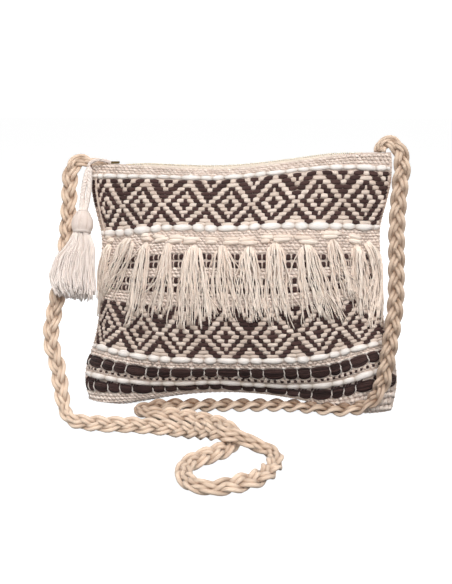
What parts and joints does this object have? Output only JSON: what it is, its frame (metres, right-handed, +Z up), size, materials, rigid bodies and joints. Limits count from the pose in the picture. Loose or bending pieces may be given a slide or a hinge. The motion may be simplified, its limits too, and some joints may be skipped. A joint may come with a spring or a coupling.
{
  "type": "fringe bag",
  "caption": "Plump handwoven cotton crossbody pouch with a tufted fringe across its front, a tasselled zip along its mouth and a braided rope strap laid on the floor.",
  "frame": {"origin": "on the floor, under the middle of the bag's box without the strap", "axes": "+X to the right along the bag's width as seen from the front, +Y to the back, +Z up"},
  "size_m": [0.3297, 0.2638, 0.2587],
  "materials": {
    "woven_cloth": "handwoven cotton, natural ground with dark brown diamonds and bulky white and dark rows",
    "zip_cloth": "pale cotton zip tape",
    "zip_plastic": "moulded zip teeth",
    "slider_metal": "antique brass zip slider and pull wire",
    "fringe_yarn": "loose cream cotton strands",
    "tassel_yarn": "loose white cotton strands",
    "rope": "braided cotton cord"
  },
  "bodies": {
    "root": {"pouch": "woven_cloth", "zip_tape": "zip_cloth", "zip_teeth": "zip_plastic", "zip_slider": "slider_metal", "fringe": "fringe_yarn", "tassel": "tassel_yarn", "tassel_wrap": "tassel_yarn", "strap": "rope"}
  },
  "joints": []
}
